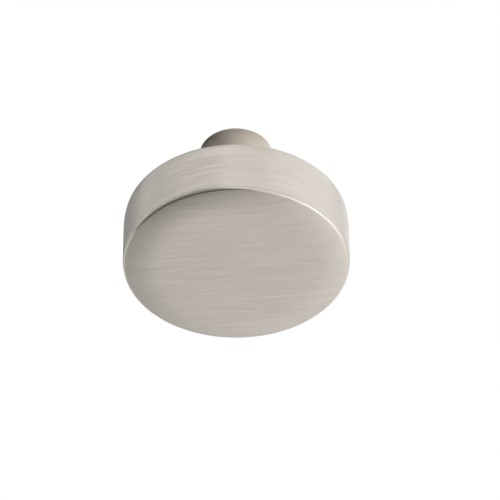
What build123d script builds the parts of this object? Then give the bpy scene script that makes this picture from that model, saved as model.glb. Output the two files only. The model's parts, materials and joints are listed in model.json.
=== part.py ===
from build123d import *
import os
from math import radians, sin, tan

# Cabinet knob, in millimetres: a drum-shaped head on a straight stem, die-cast in one piece and plated.
# Buffing has rolled its edges over softly, and the stem is drilled and tapped for one machine screw.
# The knob is fixed to an upright door: the origin is the middle of the stem's foot, where it meets the door,
# -Y points out of the door towards the hand, and +Z is up.

# Head
head_diameter = 32.0
head_thickness = 9.5
projection = 22.5  # from the door to the middle of the face

# Front edge of the head, as three tangent arcs from the face to the side
face_roll_radius = 24.0  # the face falls away gently before its edge
face_roll_angle = 11.0
front_edge_radius = 0.3  # the crisp line between face and side
side_roll_radius = 3.0  # the side leans in a little behind that line
side_roll_angle = 12.0

# Back edge of the head, as two tangent arcs from the side to the back
back_roll_radius = 8.0
back_roll_angle = 12.0
back_edge_radius = 1.0

# Stem
stem_diameter = 10.5
foot_chamfer = 0.35  # breaks the edge of the foot

# Screw hole, drilled for an M4 thread
hole_diameter = 3.3
hole_depth = 12.0  # full diameter, measured from the foot
hole_mouth_diameter = 4.1  # countersunk so that the first thread stands below the foot
hole_mouth_angle = 90.0
drill_point_angle = 118.0

head_radius = head_diameter / 2
stem_radius = stem_diameter / 2
hole_radius = hole_diameter / 2
head_back = projection - head_thickness
drill_point_length = hole_radius / tan(radians(drill_point_angle / 2))


def arc_reach(radius, start_angle, end_angle):
    """How far an arc goes straight on while its direction turns from one angle to another."""
    return radius * (sin(radians(end_angle)) - sin(radians(start_angle)))


# The three arcs of the front edge together take up this much of the face.
front_edge_turn = 90 - face_roll_angle - side_roll_angle
face_roll_width = arc_reach(face_roll_radius, 0, face_roll_angle)
front_edge_width = arc_reach(front_edge_radius, face_roll_angle, face_roll_angle + front_edge_turn)
side_roll_width = arc_reach(side_roll_radius, 90 - side_roll_angle, 90)
face_flat_radius = head_radius - face_roll_width - front_edge_width - side_roll_width

# The two arcs of the back edge together take up this much of the side.
back_edge_turn = 90 - back_roll_angle
back_roll_depth = arc_reach(back_roll_radius, 0, back_roll_angle)
back_edge_depth = arc_reach(back_edge_radius, back_roll_angle, 90)
side_end = head_back + back_roll_depth + back_edge_depth

# Half of the knob's section: x is the distance from the knob's axis, y the distance out from the door.
half_section = Plane(origin=(0, 0, 0), x_dir=(0, 0, 1), z_dir=(1, 0, 0))
outwards, towards_door = (1, 0), (0, -1)
base_centre = (Align.CENTER, Align.CENTER, Align.MIN)

with BuildPart() as knob:
    # The cast body, turned about its axis from one outline
    with BuildSketch(half_section):
        with BuildLine():
            face = Line((0, projection), (face_flat_radius, projection))
            face_roll = JernArc(face @ 1, outwards, face_roll_radius, -face_roll_angle)
            front_edge = JernArc(face_roll @ 1, face_roll % 1, front_edge_radius, -front_edge_turn)
            side_roll = JernArc(front_edge @ 1, front_edge % 1, side_roll_radius, -side_roll_angle)
            side = Line(side_roll @ 1, (head_radius, side_end))
            back_roll = JernArc(side @ 1, towards_door, back_roll_radius, -back_roll_angle)
            back_edge = JernArc(back_roll @ 1, back_roll % 1, back_edge_radius, -back_edge_turn)
            stem = Polyline(back_edge @ 1, (stem_radius, head_back), (stem_radius, foot_chamfer))
            Polyline(stem @ 1, (stem_radius - foot_chamfer, 0), (0, 0), face @ 0)
        make_face()
    revolve(axis=Axis.Y)

    # The blind screw hole, with its countersunk mouth and the cone that the drill's point leaves
    with Locations(Plane(origin=(0, 0, 0), x_dir=(1, 0, 0), z_dir=(0, 1, 0))):
        CounterSinkHole(hole_radius, hole_mouth_diameter / 2, hole_depth, hole_mouth_angle)
    with Locations(Plane(origin=(0, -hole_depth, 0), x_dir=(1, 0, 0), z_dir=(0, -1, 0))):
        Cone(hole_radius, 0, drill_point_length, align=base_centre, mode=Mode.SUBTRACT)

knob.part.label = "knob"

os.makedirs("parts", exist_ok=True)
export_step(knob.part, "parts/knob.step")
print("knob", "volume", round(knob.part.volume), "mm3, face flat to radius", round(face_flat_radius, 2))
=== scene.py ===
# %% [markdown]
# # A cabinet knob in brushed nickel
# The real knob is one die-cast piece: a drum-shaped head on a straight stem, tapped from the foot for a
# screw. After casting it is brushed with a fine abrasive and nickel-plated, and the brush lines are most of
# its look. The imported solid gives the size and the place. This script models the same piece with a smooth
# mesh and a real screw thread, gives each surface the finish that its tool left, and lights it as in the
# photograph.

# %% Load the frame
import json
from math import cos, pi, radians, sin, tan

import bpy
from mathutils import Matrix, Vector

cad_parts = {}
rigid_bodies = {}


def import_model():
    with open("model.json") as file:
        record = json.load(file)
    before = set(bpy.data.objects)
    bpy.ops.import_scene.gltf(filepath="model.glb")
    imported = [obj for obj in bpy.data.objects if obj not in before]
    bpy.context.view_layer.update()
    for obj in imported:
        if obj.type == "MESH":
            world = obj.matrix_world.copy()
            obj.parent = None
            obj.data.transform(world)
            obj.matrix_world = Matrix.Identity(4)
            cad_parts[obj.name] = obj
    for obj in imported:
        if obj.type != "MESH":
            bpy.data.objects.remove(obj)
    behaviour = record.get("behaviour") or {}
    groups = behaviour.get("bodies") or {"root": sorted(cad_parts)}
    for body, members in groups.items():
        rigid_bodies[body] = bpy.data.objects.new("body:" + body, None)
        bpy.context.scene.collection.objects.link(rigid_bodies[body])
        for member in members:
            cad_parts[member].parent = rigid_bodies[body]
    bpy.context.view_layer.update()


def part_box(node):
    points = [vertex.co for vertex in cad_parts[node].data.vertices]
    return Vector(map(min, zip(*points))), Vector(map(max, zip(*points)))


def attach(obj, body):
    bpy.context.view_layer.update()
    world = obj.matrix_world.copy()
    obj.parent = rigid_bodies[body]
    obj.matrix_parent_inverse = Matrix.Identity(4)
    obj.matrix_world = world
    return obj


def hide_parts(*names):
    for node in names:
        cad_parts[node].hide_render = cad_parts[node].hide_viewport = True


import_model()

MM = 0.001  # Blender's lengths are in metres here, so a size is a number of millimetres times MM


def in_mm(lengths, digits=2):
    """Lengths in metres as rounded millimetres, to print."""
    return [round(length / MM, digits) for length in lengths]


# %% [markdown]
# ## The sizes
# The head's diameter and the projection from the door are read from the solid, so they can't drift from it.
# The radii of the edges and the sizes of the hole repeat the part's own numbers, because this script
# reads nothing but the frame.

# %% Sizes of the head and the stem
node_low, node_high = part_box("knob")
head_radius = (node_high.z - node_low.z) / 2
projection = node_high.y - node_low.y
head_thickness = 9.5 * MM
head_back = projection - head_thickness
stem_radius = 5.25 * MM
foot_edge_radius = 0.6 * MM  # the foot's small chamfer, buffed to a soft round

face_roll_radius, face_roll_angle = 24 * MM, radians(11)  # the face falls away gently before its edge
front_edge_radius = 0.3 * MM  # the crisp line between face and side
side_roll_radius, side_roll_angle = 3 * MM, radians(12)  # the side leans in a little behind that line
back_roll_radius, back_roll_angle = 8 * MM, radians(12)
back_edge_radius = 1 * MM
print("head radius and projection in mm:", in_mm((head_radius, projection)))

# %% Sizes of the screw hole
hole_radius = 1.65 * MM
hole_depth = 12 * MM
hole_mouth_radius = 2.05 * MM  # countersunk at 45 degrees, so that the first thread stands below the foot
drill_point_angle = radians(118)
drill_point_length = hole_radius / tan(drill_point_angle / 2)
print("drill point's length in mm:", in_mm([drill_point_length]))

# %% [markdown]
# ## The outline
# A knob is a turned shape, so half of its section is enough. The outline below starts in the middle of the
# face and ends at the tip of the drilled hole. A box with bevelled edges would also give rounded corners,
# but each edge of this knob rolls over in two or three arcs of different size, so the arcs are drawn one
# after the other. Each is a few short steps: small steps on a tight edge, longer ones on a gentle roll. The
# first number of a point is its distance from the axis, the second its distance out from the door.

# %% Lines and arcs of an outline
outline = [Vector((0, projection))]


def straight_to(radius, out, steps):
    """Goes on in a straight line to a point, in equal steps."""
    start = outline[-1]
    for step in range(1, steps + 1):
        outline.append(start.lerp(Vector((radius, out)), step / steps))


def arc(bend, heading, turn, steps):
    """Goes on along an arc that turns clockwise: heading 0 is outwards, -90 degrees is towards the door."""
    start = outline[-1]
    centre = start + bend * Vector((sin(heading), -cos(heading)))
    for step in range(1, steps + 1):
        angle = heading - turn * step / steps
        outline.append(centre - bend * Vector((sin(angle), -cos(angle))))


print("outline starts at", in_mm(outline[0]), "mm")

# %% The face and the front edge
quarter = pi / 2
side_heading = quarter - side_roll_angle  # how far the front edge has turned where the side's roll starts
edge_width = (
    face_roll_radius * sin(face_roll_angle)
    + front_edge_radius * (sin(side_heading) - sin(face_roll_angle))
    + side_roll_radius * (1 - sin(side_heading))
)
straight_to(head_radius - edge_width, projection, steps=5)
arc(face_roll_radius, 0, face_roll_angle, steps=10)
arc(front_edge_radius, -face_roll_angle, side_heading - face_roll_angle, steps=12)
arc(side_roll_radius, -side_heading, side_roll_angle, steps=6)
print("flat of the face to radius", in_mm([head_radius - edge_width]), "mm")

# %% The side, the back, the stem and the hole
side_end = (
    head_back
    + back_roll_radius * sin(back_roll_angle)
    + back_edge_radius * (1 - sin(back_roll_angle))
)
straight_to(head_radius, side_end, steps=6)
arc(back_roll_radius, -quarter, back_roll_angle, steps=6)
arc(back_edge_radius, -quarter - back_roll_angle, quarter - back_roll_angle, steps=14)
straight_to(stem_radius, head_back, steps=4)
straight_to(stem_radius, foot_edge_radius, steps=6)
arc(foot_edge_radius, -quarter, quarter, steps=8)
straight_to(hole_mouth_radius, 0, steps=3)
straight_to(hole_radius, hole_mouth_radius - hole_radius, steps=1)
straight_to(hole_radius, hole_depth, steps=1)
straight_to(0, hole_depth + drill_point_length, steps=1)
print("outline:", len(outline), "points, widest", in_mm([max(p.x for p in outline)], 3), "mm from the axis")

# %% [markdown]
# ## Spinning the body
# The outline is drawn as by hand: a plane is merged to one vertex, that vertex is put in the middle of the
# face, and it is extruded from point to point. Spin then sweeps the chain of edges once round the knob's
# axis. The Screw modifier could do the same, but Spin shows its result at once in edit mode. The chain's
# ends lie on the axis, where every copy falls on the same spot, so doubles are merged before the normals
# are recalculated.

# %% Draw the outline as a chain of edges
bpy.ops.object.select_all(action="DESELECT")
bpy.ops.mesh.primitive_plane_add(size=MM)
knob = bpy.context.object
knob.name = knob.data.name = "brushed_knob"


def place(point):
    """Where an outline's point lies in the frame: the knob's axis is Y, and its face looks along -Y."""
    return Vector((0, -point.y, point.x))


bpy.ops.object.mode_set(mode="EDIT")
bpy.ops.mesh.merge(type="CENTER")
bpy.ops.transform.translate(value=place(outline[0]))
for here, there in zip(outline, outline[1:]):
    bpy.ops.mesh.extrude_vertices_move(TRANSFORM_OT_translate={"value": place(there) - place(here)})
print("drew", knob.name, "through", len(outline), "points")

# %% Spin it round the axis
AROUND = 256  # steps round the axis, fine enough for a smooth outline in a close view
MERGE_WITHIN = 0.001 * MM

bpy.ops.mesh.select_all(action="SELECT")
bpy.ops.mesh.spin(steps=AROUND, angle=2 * pi, center=(0, 0, 0), axis=(0, 1, 0))
bpy.ops.mesh.select_all(action="SELECT")
bpy.ops.mesh.remove_doubles(threshold=MERGE_WITHIN)
bpy.ops.mesh.normals_make_consistent(inside=False)
bpy.ops.object.mode_set(mode="OBJECT")
print("body:", len(knob.data.polygons), "faces, size in mm", in_mm(knob.dimensions, 3))

# %% [markdown]
# ## The screw thread
# The hole is tapped M4: a groove of 0.7 mm pitch runs round its wall from the mouth inwards. A bump in the
# material could suggest it, but from behind the knob you look straight into the hole, so it is cut for
# real. One tooth of the tap is a small trapezium. The Screw modifier winds it up the axis, its two ends are
# filled, and a Boolean cuts the wound tooth out of the body, much as the tap does.

# %% One tooth of the tap
PITCH = 0.7 * MM
TURNS = 15
THREAD_RADIUS = 2 * MM
FLANK_ANGLE = radians(30)  # the slope of a metric thread's flanks
tooth_foot = hole_radius - 0.15 * MM  # inside the open hole, so that the cut runs clean through its wall
tip_half = PITCH / 16
foot_half = tip_half + (THREAD_RADIUS - tooth_foot) * tan(FLANK_ANGLE)
deepest = PITCH - TURNS * PITCH  # the winding starts here and runs out at the foot

bpy.ops.object.select_all(action="DESELECT")
bpy.ops.mesh.primitive_plane_add(size=MM)
tap = bpy.context.object
corners = [
    (tooth_foot, -foot_half), (THREAD_RADIUS, -tip_half), (THREAD_RADIUS, tip_half), (tooth_foot, foot_half),
]
ring = [tap.data.vertices[i] for i in tap.data.polygons[0].vertices]
for vertex, (radius, along) in zip(ring, corners):
    vertex.co = (radius, deepest + along, 0)
bpy.ops.object.mode_set(mode="EDIT")
bpy.ops.mesh.select_all(action="SELECT")
bpy.ops.mesh.delete(type="ONLY_FACE")
bpy.ops.object.mode_set(mode="OBJECT")
print("tooth's width at foot and tip in mm:", in_mm((2 * foot_half, 2 * tip_half)))

# %% Wind the tooth into a tap
WINDING_STEPS = 64  # steps in one turn of the thread

winding = tap.modifiers.new("winding", "SCREW")
winding.axis = "Y"
winding.screw_offset = PITCH
winding.iterations = TURNS
winding.steps = winding.render_steps = WINDING_STEPS
bpy.ops.object.modifier_apply(modifier=winding.name)
bpy.ops.object.mode_set(mode="EDIT")
bpy.ops.mesh.select_all(action="SELECT")
bpy.ops.mesh.fill_holes(sides=0)
bpy.ops.mesh.select_all(action="SELECT")
bpy.ops.mesh.normals_make_consistent(inside=False)
bpy.ops.object.mode_set(mode="OBJECT")
print("tap:", len(tap.data.polygons), "faces")

# %% Cut the thread
cut = knob.modifiers.new("cut", "BOOLEAN")
cut.operation, cut.solver, cut.object = "DIFFERENCE", "EXACT", tap
bpy.context.view_layer.objects.active = knob
bpy.ops.object.modifier_apply(modifier=cut.name)
bpy.data.objects.remove(tap)
print("tapped body:", len(knob.data.polygons), "faces")

# %% [markdown]
# ## Smooth shading
# The spun faces are flat, and the light would show each of them. Smooth shading blends the normals of
# neighbours. Smooth by angle does so on the turned surfaces and leaves an edge sharp where two of them meet
# at more than 30 degrees: the root of the stem, the hole's countersunk mouth and the crest of the thread.

# %% Smooth the turned surfaces
SHARP_ANGLE = radians(30)

bpy.ops.object.select_all(action="DESELECT")
knob.select_set(True)
bpy.ops.object.shade_smooth_by_angle(angle=SHARP_ANGLE)
print("sharp edges:", sum(edge.use_edge_sharp for edge in knob.data.edges))

# %% [markdown]
# ## What the finishes share
# All of the knob is one plating, satin nickel: a warm grey metal that is brushed before it is plated. It is
# a mirror of fine grooves. Such a mirror spreads a reflection across its grooves and hardly along them, so
# the shader is anisotropic, and its tangent says which way the grooves run. A picture of scratches could be
# wrapped round the knob, but it would need unwrapping and would show its seams. Noise that is stretched
# along the stroke needs neither, so the strokes are made of that.

# %% Helpers for the materials
def linear(hex_colour):
    """An sRGB hex colour as the linear colour that a shader takes."""
    channels = [int(hex_colour[i:i + 2], 16) / 255 for i in (1, 3, 5)]
    return (*(c / 12.92 if c <= 0.04045 else ((c + 0.055) / 1.055) ** 2.4 for c in channels), 1)


def add_node(tree, kind, options={}, values={}, links={}):
    """Adds a node, sets its options and the values of its sockets, and links outputs to its inputs."""
    node = tree.nodes.new(kind)
    for name, value in options.items():
        setattr(node, name, value)
    for name, value in values.items():
        node.inputs[name].default_value = value
    for name, output in links.items():
        tree.links.new(output, node.inputs[name])
    return node


def new_material(name):
    """An empty material and its node tree."""
    material = bpy.data.materials.new(name)
    material.use_nodes = True
    material.node_tree.nodes.clear()
    return material, material.node_tree


print("half way up in sRGB is", round(linear("#808080")[0], 3), "in linear light")

# %% [markdown]
# ## How the strokes lie
# On the face the strokes are straight, because it was held against a running belt. Everywhere else they go
# round, because the knob turned against the abrasive. Noise looks the same in all directions, so it is
# given coordinates in which one stroke is one unit long and one unit wide: it then comes out as a long thin
# stroke. For round strokes the distance along the axis and the distance from it are added up. The sum
# changes across the strokes on the side, where the first one changes, and on a flat end, where the second
# one does.

# %% Coordinates for the strokes
def straight_lay(tree, length, width, turn):
    """Strokes along X, turned in the plane of the face."""
    where = add_node(tree, "ShaderNodeTexCoord").outputs["Object"]
    return add_node(
        tree, "ShaderNodeMapping", {"vector_type": "TEXTURE"},
        {"Rotation": (0, turn, 0), "Scale": (length, length, width)}, {"Vector": where},
    ).outputs["Vector"]


def round_lay(tree, length, width, turn):
    """Strokes round the knob's axis. A turn tips them a little off true, so that they cross."""
    where = add_node(tree, "ShaderNodeTexCoord").outputs["Object"]
    tipped = add_node(
        tree, "ShaderNodeMapping", values={"Rotation": (0, 0, turn)}, links={"Vector": where},
    ).outputs["Vector"]
    flat = add_node(
        tree, "ShaderNodeVectorMath", {"operation": "MULTIPLY"}, {1: (1, 0, 1)}, {0: tipped},
    ).outputs["Vector"]
    radius = add_node(tree, "ShaderNodeVectorMath", {"operation": "LENGTH"}, links={0: flat}).outputs["Value"]
    along = add_node(tree, "ShaderNodeSeparateXYZ", links={"Vector": tipped}).outputs["Y"]
    across = add_node(tree, "ShaderNodeMath", {"operation": "ADD"}, links={0: along, 1: radius})
    lines = add_node(
        tree, "ShaderNodeMath", {"operation": "DIVIDE"}, {1: width}, {0: across.outputs["Value"]},
    ).outputs["Value"]
    upright = add_node(tree, "ShaderNodeCombineXYZ", links={"Y": lines}).outputs["Vector"]
    return add_node(
        tree, "ShaderNodeVectorMath", {"operation": "MULTIPLY_ADD"},
        {1: (1 / length, 0, 1 / length)}, {0: flat, 2: upright},
    ).outputs["Vector"]


# %% [markdown]
# ## Brushed satin nickel
# A brushed surface has strokes of several sizes on top of each other, so the noise of each size is added up
# with its share, and the sum is the height of the metal. The height drives three things at once, as on the
# real metal: a ridge is lighter and smoother than a groove, and the bump tips the reflection on its flanks.
# Most of the noise lies near its middle, so only that range is spread over the two colours. Real scratches
# are about 0.02 to 0.05 mm wide, finer than a pixel of this view. They are drawn 0.1 to 0.5 mm wide
# instead, as coarse as they need to be to show.

# %% A function for the plating
HEIGHT_LOW, HEIGHT_HIGH = 0.35, 0.65  # most of the noise's height lies between these
ROUGHNESS_SWING = 0.04  # a groove is this much rougher than the mean, a ridge this much smoother
STROKE_DETAIL = 2  # finer strokes inside each stroke, each time half as large
QUARTER_TURN = 0.25  # in whole turns: from a tangent along the round grooves to one across them


def brushed_nickel(name, lay, strokes, dark, light, roughness, grooved, depth):
    """Satin nickel. Each stroke is a length and a width in mm, a turn in degrees and a share. Depth is in mm."""
    material, tree = new_material(name)
    height = None
    for length, width, turn, share in strokes:
        where = lay(tree, length * MM, width * MM, radians(turn))
        noise = add_node(
            tree, "ShaderNodeTexNoise", values={"Scale": 1, "Detail": STROKE_DETAIL}, links={"Vector": where},
        ).outputs["Fac"]
        added = {0: noise} if height is None else {0: noise, 2: height}
        height = add_node(
            tree, "ShaderNodeMath", {"operation": "MULTIPLY_ADD"}, {1: share, 2: 0}, added,
        ).outputs["Value"]

    colour = add_node(tree, "ShaderNodeValToRGB", links={"Fac": height})
    groove, ridge = colour.color_ramp.elements
    groove.position, groove.color = HEIGHT_LOW, linear(dark)
    ridge.position, ridge.color = HEIGHT_HIGH, linear(light)
    rough = add_node(
        tree, "ShaderNodeMapRange",
        values={"From Min": HEIGHT_LOW, "From Max": HEIGHT_HIGH,
                "To Min": roughness + ROUGHNESS_SWING, "To Max": roughness - ROUGHNESS_SWING},
        links={"Value": height},
    )
    bump = add_node(
        tree, "ShaderNodeBump", values={"Strength": 1, "Distance": depth * MM}, links={"Height": height},
    )
    shader = add_node(
        tree, "ShaderNodeBsdfPrincipled", values={"Metallic": 1, "Anisotropic": grooved},
        links={"Base Color": colour.outputs["Color"], "Roughness": rough.outputs["Result"],
               "Normal": bump.outputs["Normal"]},
    )
    if lay is straight_lay:
        first_turn = radians(strokes[0][2])
        tangent = add_node(
            tree, "ShaderNodeCombineXYZ", values={"X": sin(first_turn), "Z": cos(first_turn)},
        ).outputs["Vector"]
    else:
        tangent = add_node(
            tree, "ShaderNodeTangent", {"direction_type": "RADIAL", "axis": "Y"},
        ).outputs["Tangent"]
        shader.inputs["Anisotropic Rotation"].default_value = QUARTER_TURN
    tree.links.new(tangent, shader.inputs["Tangent"])
    add_node(tree, "ShaderNodeOutputMaterial", links={"Surface": shader.outputs["BSDF"]})
    knob.data.materials.append(material)
    print("finish:", name, "with", len(strokes), "sizes of stroke")


# %% [markdown]
# ## The brushed surfaces
# The face and the side carry the strokes that make the knob's look. The belt left the face a little rougher
# than the side. Its strokes slope by about 5 degrees in the photograph, and strokes of different sizes
# differ a little in slope, because no two passes of a belt run quite the same way.

# %% The face
# An even, soft grey with fine, nearly level lines that fade in and out: no clear reflection, only a glow.
brushed_nickel(
    "satin_nickel_belt_brushed", straight_lay,
    [(8, 0.2, -5.5, 0.5), (16, 0.25, -5, 0.3), (3, 0.15, -4, 0.2)],
    dark="#B9B3AB", light="#BFB9B1", roughness=0.36, grooved=0.6, depth=0.033,
)

# %% The side and the back of the head
# Clearer lines that follow the round, and light that gathers in a broad band across them.
brushed_nickel(
    "satin_nickel_turned_brushed", round_lay,
    [(6, 0.2, 0, 0.5), (12, 0.25, 1, 0.3), (3, 0.15, 2, 0.2)],
    dark="#B7B1A9", light="#C0BAB2", roughness=0.33, grooved=0.6, depth=0.065,
)

# %% [markdown]
# ## The smoother surfaces
# The crisp front edge is rubbed by every tool and every hand, so it is the smoothest and palest metal on
# the knob, and its paler colour also holds a painted glint that brightens the line where it mirrors a light.
# The stem and its foot have plain plating with only faint turning marks. Plating hardly reaches into the
# tapped hole, where the metal stays dull.

# %% The front edge
# A thin line that mirrors the room almost clearly: a glint towards a light, a dark stroke towards a shade.
brushed_nickel(
    "satin_nickel_rubbed_edge_painted_glint", round_lay, [(4, 0.12, 0, 0.6), (2, 0.09, 2, 0.4)],
    # the paler colours are partly rubbed metal and partly a painted glint
    dark="#C6C0B8", light="#D2CCC4", roughness=0.22, grooved=0.3, depth=0.003,
)

# %% The stem and its foot
# A smooth satin sheen with faint rings.
brushed_nickel(
    "satin_nickel_plated", round_lay, [(6, 0.2, 0, 0.6), (10, 0.3, 1, 0.4)],
    dark="#B8B2AA", light="#C0BAB2", roughness=0.3, grooved=0.4, depth=0.01,
)

# %% The tapped hole
# A darker, duller grey, uneven from the tap.
brushed_nickel(
    "dull_nickel_tapped", round_lay, [(2, 0.3, 0, 0.6), (0.6, 0.5, 0, 0.4)],
    dark="#8E8983", light="#A8A29B", roughness=0.45, grooved=0.4, depth=0.01,
)

# %% [markdown]
# ## Putting each finish on its surface
# The finishes sit in the material slots in the order in which they were made. The faces could be picked by
# hand in edit mode, but on a turned piece two distances say which tool reached a face: how far it stands
# out from the door, and how far from the axis. The face ends where its roll meets the crisp edge, and the
# crisp edge ends where the side's roll starts.

# %% Give each face its finish
BELT, TURNED, RUBBED_AND_GLINT, PLATED, TAPPED = range(5)
front_line = projection - face_roll_radius * (1 - cos(face_roll_angle))
side_line = front_line - front_edge_radius * (cos(face_roll_angle) - cos(side_heading))

for polygon in knob.data.polygons:
    out = -polygon.center.y
    radius = Vector((polygon.center.x, polygon.center.z)).length
    if out > front_line:
        polygon.material_index = BELT
    elif out > side_line:
        polygon.material_index = RUBBED_AND_GLINT
    elif radius < hole_mouth_radius:
        polygon.material_index = TAPPED
    elif radius < stem_radius:  # the stem's wall too: the middle of a flat face lies just inside the round
        polygon.material_index = PLATED
    else:
        polygon.material_index = TURNED
print("faces of each finish:", [sum(p.material_index == i for p in knob.data.polygons) for i in range(5)])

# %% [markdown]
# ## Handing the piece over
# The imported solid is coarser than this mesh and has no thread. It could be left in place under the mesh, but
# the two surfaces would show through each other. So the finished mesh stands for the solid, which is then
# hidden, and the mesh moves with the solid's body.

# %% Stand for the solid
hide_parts("knob")
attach(knob, "root")
triangles = sum(len(p.vertices) - 2 for p in knob.data.polygons)
print(knob.name, "stands for the solid, with", triangles, "triangles")

# %% [markdown]
# ## A white background
# The knob is seen against plain white. More light would turn the room white, but it would bleach the metal
# as well. The Light Path node tells rays apart instead: a ray from the camera, off metal or through glass
# meets a strength of 1, which is white, and all other rays meet a dimmer room. So the background is white
# and the light on the knob stays plain.

# %% The room
ROOM_LIGHT = 0.7  # what lights the knob from all around


def shows_background(tree):
    """1 for a ray from the camera, off metal or through glass: the rays that should meet white."""
    path = add_node(tree, "ShaderNodeLightPath").outputs
    seen = add_node(
        tree, "ShaderNodeMath", {"operation": "MAXIMUM"},
        links={0: path["Is Camera Ray"], 1: path["Is Glossy Ray"]},
    ).outputs["Value"]
    return add_node(
        tree, "ShaderNodeMath", {"operation": "MAXIMUM"}, links={0: seen, 1: path["Is Transmission Ray"]},
    ).outputs["Value"]


world = bpy.data.worlds.new("white_studio")
world.use_nodes = True
bpy.context.scene.world = world
tree = world.node_tree
tree.nodes.clear()
strength = add_node(
    tree, "ShaderNodeMapRange", values={"To Min": ROOM_LIGHT, "To Max": 1},
    links={"Value": shows_background(tree)},
).outputs["Result"]
sky = add_node(tree, "ShaderNodeBackground", values={"Color": (1, 1, 1, 1)}, links={"Strength": strength})
add_node(tree, "ShaderNodeOutputWorld", links={"Surface": sky.outputs["Background"]})
print("room:", world.name, "gives", ROOM_LIGHT, "and shows 1")

# %% [markdown]
# ## The floor
# A pale matt floor lies well below the knob and catches its shadow. A matt floor under soft light comes out
# a light grey, so the same trick lifts it to white: a faint glow is added for the rays that should see the
# background. Far from the knob the studio lights fade, so the glow grows with the distance.

# %% A pale floor
FLOOR_HEIGHT, FLOOR_RADIUS = -0.4, 6.0  # in metres
LIFT_NEAR, LIFT_FAR = 0.48, 0.62  # the glow that is added
NEAR, FAR = 0.5, 2.5  # the distances in metres that these belong to

bpy.ops.object.select_all(action="DESELECT")
bpy.ops.mesh.primitive_circle_add(
    vertices=96, radius=FLOOR_RADIUS, fill_type="NGON", location=(0, 0, FLOOR_HEIGHT),
)
floor = bpy.context.object
floor.name = "floor"
pale, tree = new_material("pale_floor")
matt = add_node(tree, "ShaderNodeBsdfDiffuse", values={"Color": linear("#CCCCCC")})
where = add_node(tree, "ShaderNodeTexCoord").outputs["Object"]
away = add_node(tree, "ShaderNodeVectorMath", {"operation": "LENGTH"}, links={0: where}).outputs["Value"]
whiter = add_node(
    tree, "ShaderNodeMapRange",
    values={"From Min": NEAR, "From Max": FAR, "To Min": LIFT_NEAR, "To Max": LIFT_FAR}, links={"Value": away},
).outputs["Result"]
lift = add_node(tree, "ShaderNodeMath", {"operation": "MULTIPLY"}, links={0: shows_background(tree), 1: whiter})
glow = add_node(tree, "ShaderNodeEmission", links={"Strength": lift.outputs["Value"]})
both = add_node(
    tree, "ShaderNodeAddShader", links={0: matt.outputs["BSDF"], 1: glow.outputs["Emission"]},
)
add_node(tree, "ShaderNodeOutputMaterial", links={"Surface": both.outputs["Shader"]})
floor.data.materials.append(pale)
print("floor:", FLOOR_RADIUS, "m in radius,", -FLOOR_HEIGHT, "m below the knob's axis")

# %% [markdown]
# ## Softboxes
# Metal shows what is around it, so the lights are placed by what the knob should mirror. Wide, weak area
# lights stand for bright walls on the right and behind, which make the side pale on the right. A strip low
# on the right gives the front edge its glint. The camera doesn't see any of them. A light's power is worked
# out from how bright its surface looks, so that its size can change without changing its look in the metal.

# %% The lights
def seen_from_knob(azimuth, elevation, distance):
    """A place as seen from the knob: azimuth 0 is in front, 90 on the right, elevation above the horizon."""
    a, e = radians(azimuth), radians(elevation)
    return distance * Vector((sin(a) * cos(e), -cos(a) * cos(e), sin(e)))


def face_knob(thing):
    """Turns a light or a card at its place so that it faces the knob."""
    thing.rotation_euler = (-thing.location).to_track_quat("-Z", "Y").to_euler()


def softbox(name, azimuth, elevation, distance, size, radiance):
    """An area light that faces the knob, with its distance and size in metres."""
    lamp = bpy.data.lights.new(name, "AREA")
    lamp.shape = "RECTANGLE"
    lamp.size, lamp.size_y = size
    lamp.energy = radiance * pi * size[0] * size[1]
    box = bpy.data.objects.new(name, lamp)
    box.location = seen_from_knob(azimuth, elevation, distance)
    face_knob(box)
    box.visible_camera = False
    bpy.context.scene.collection.objects.link(box)
    print("softbox:", name, round(lamp.energy, 2), "W")


softbox("wall_right", 92, 0, 0.9, (0.9, 1.5), 0.24)
softbox("wall_back", 136, 2, 0.9, (0.75, 1.9), 0.43)
softbox("bright_strip", 44, -18, 0.9, (0.9, 1.4), 0.74)
softbox("edge_strip", 26, -30, 0.6, (0.1, 0.5), 0.75)
softbox("overhead_back", 225, 48, 0.9, (1.9, 1.1), 0.34)
softbox("low_front", 14, -49, 0.45, (0.28, 0.34), 0.27)
softbox("low_back_right", 155, -47, 0.5, (0.25, 0.25), 0.25)

# %% [markdown]
# ## Cards
# In a white room metal looks like plaster. A photographer puts grey cards round it, and their reflections
# draw the shape: here two dark ones on the left, in front and higher up, shade the left of the side and give
# the front edge its dark stroke, and paler ones fill the lower left and the back. A card only has to show
# in the metal, so it glows faintly, and it is hidden from the camera, from diffuse light and from shadows.

# %% The cards
def show_only_in_metal(thing):
    """Hides a card from all but reflections."""
    thing.visible_camera = thing.visible_diffuse = thing.visible_shadow = False


def card(name, azimuth, elevation, distance, size, brightness, colour="#FFFFFF"):
    """A grey card that faces the knob, with its distance and size in metres."""
    grey, tree = new_material(name)
    glow = add_node(tree, "ShaderNodeEmission", values={"Color": linear(colour), "Strength": brightness})
    add_node(tree, "ShaderNodeOutputMaterial", links={"Surface": glow.outputs["Emission"]})
    bpy.ops.object.select_all(action="DESELECT")
    bpy.ops.mesh.primitive_plane_add(size=1)
    flag = bpy.context.object
    flag.name = name
    flag.location = seen_from_knob(azimuth, elevation, distance)
    face_knob(flag)
    flag.scale = (*size, 1)
    flag.data.materials.append(grey)
    show_only_in_metal(flag)
    print("card:", name, "as bright as", brightness)


card("card_front_left", -32, 9, 0.5, (0.8, 0.9), 0.16, "#FFFAED")
card("card_high_left", -72, 32, 0.4, (0.63, 0.9), 0.18)
card("card_low_left", -85, -48, 0.3, (0.5, 0.38), 0.77)
card("card_back_left", -155, -42, 0.28, (0.24, 0.24), 0.38)
card("card_back_edge", -160, -3, 0.5, (0.3, 0.32), 0.78)
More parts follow.
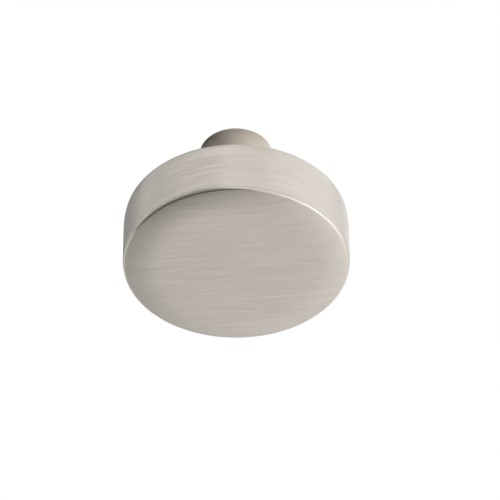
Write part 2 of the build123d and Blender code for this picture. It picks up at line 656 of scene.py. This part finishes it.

# %% [markdown]
# ## A card at the foot with painted shade
# In the photograph the stem gets darker towards its foot and its left side, as metal does close to a
# surface that gets little light. A ring round the foot stands for that surface, and its glow is painted
# light and shade. A plain grey would darken the stem evenly, so the ring is graded: painted light on the
# right, the head's painted shadow on the left and a painted contact shadow darkest next to the stem.

# %% The ring
ring_inner = stem_radius - foot_edge_radius
bpy.ops.object.select_all(action="DESELECT")
bpy.ops.mesh.primitive_circle_add(vertices=64, radius=ring_inner, rotation=(quarter, 0, 0))
board = bpy.context.object
board.name = "painted_shade_card_at_foot"
bpy.ops.object.mode_set(mode="EDIT")
bpy.ops.mesh.select_all(action="SELECT")
bpy.ops.mesh.extrude_edges_move()
bpy.ops.transform.resize(value=[head_radius / ring_inner] * 3)
bpy.ops.object.mode_set(mode="OBJECT")
print("ring's size in mm:", in_mm(board.dimensions))

# %% Paint light and shade on the ring
# The ring's glow is painted light and shade: lit on the right, the head's painted shadow on the left and a
# painted contact shadow next to the stem.
DARK_NEAR, DARK_FAR = 0.02, 0.46  # how bright the left is, by the stem and further out
BRIGHT = 1.2  # how bright the right is
SHADE_FROM, SHADE_TO = 4.8 * MM, 8.5 * MM  # distances from the axis between which the left gets paler
LEFT, RIGHT = -4.5 * MM, 6 * MM  # places across the ring between which it gets bright

painted_shade_material, tree = new_material("painted_shade_card")
where = add_node(tree, "ShaderNodeTexCoord").outputs["Object"]
across = add_node(tree, "ShaderNodeSeparateXYZ", links={"Vector": where}).outputs["X"]
radius = add_node(tree, "ShaderNodeVectorMath", {"operation": "LENGTH"}, links={0: where}).outputs["Value"]
shade = add_node(
    tree, "ShaderNodeMapRange",
    values={"From Min": SHADE_FROM, "From Max": SHADE_TO, "To Min": DARK_NEAR, "To Max": DARK_FAR},
    links={"Value": radius},
).outputs["Result"]
level = add_node(
    tree, "ShaderNodeMapRange", values={"From Min": LEFT, "From Max": RIGHT, "To Max": BRIGHT},
    links={"Value": across, "To Min": shade},
).outputs["Result"]
glow = add_node(
    tree, "ShaderNodeEmission", values={"Color": linear("#FFFAF3")}, links={"Strength": level},
)
add_node(tree, "ShaderNodeOutputMaterial", links={"Surface": glow.outputs["Emission"]})
board.data.materials.append(painted_shade_material)
show_only_in_metal(board)
print("ring graded from", DARK_NEAR, "to", BRIGHT)

# %% [markdown]
# ## The camera
# The photograph was taken from in front and well above, with a long lens: the far side of the head is
# hardly smaller than the near one. Height, distance and lens were found by fitting the knob's outline to
# the photograph's. The camera aims a little past the middle of the face, because that lies to the left of
# the picture's middle and below it.

# %% Camera
ELEVATION, DISTANCE = radians(48.72), 448 * MM
SENSOR, LENS = 36, 229.5  # in millimetres, as on a real camera
AIM_RIGHT, AIM_UP = 1.92 * MM, 2.53 * MM  # from the middle of the face to the middle of the picture
NEAREST, FURTHEST = 0.01, 100  # what lies between these, in metres, is drawn

face_centre = Vector((0, -projection, 0))
towards_camera = Vector((0, -cos(ELEVATION), sin(ELEVATION)))
picture_up = Vector((0, sin(ELEVATION), cos(ELEVATION)))
target = face_centre + Vector((AIM_RIGHT, 0, 0)) + picture_up * AIM_UP

lens_data = bpy.data.cameras.new("camera")
lens_data.sensor_width, lens_data.lens = SENSOR, LENS
lens_data.clip_start, lens_data.clip_end = NEAREST, FURTHEST
camera = bpy.data.objects.new("camera", lens_data)
camera.location = face_centre + towards_camera * DISTANCE
camera.rotation_euler = (target - camera.location).to_track_quat("-Z", "Y").to_euler()
bpy.context.scene.collection.objects.link(camera)
bpy.context.scene.camera = camera
bpy.context.scene.view_settings.view_transform = "Standard"
print("camera at", in_mm(camera.location), "mm")
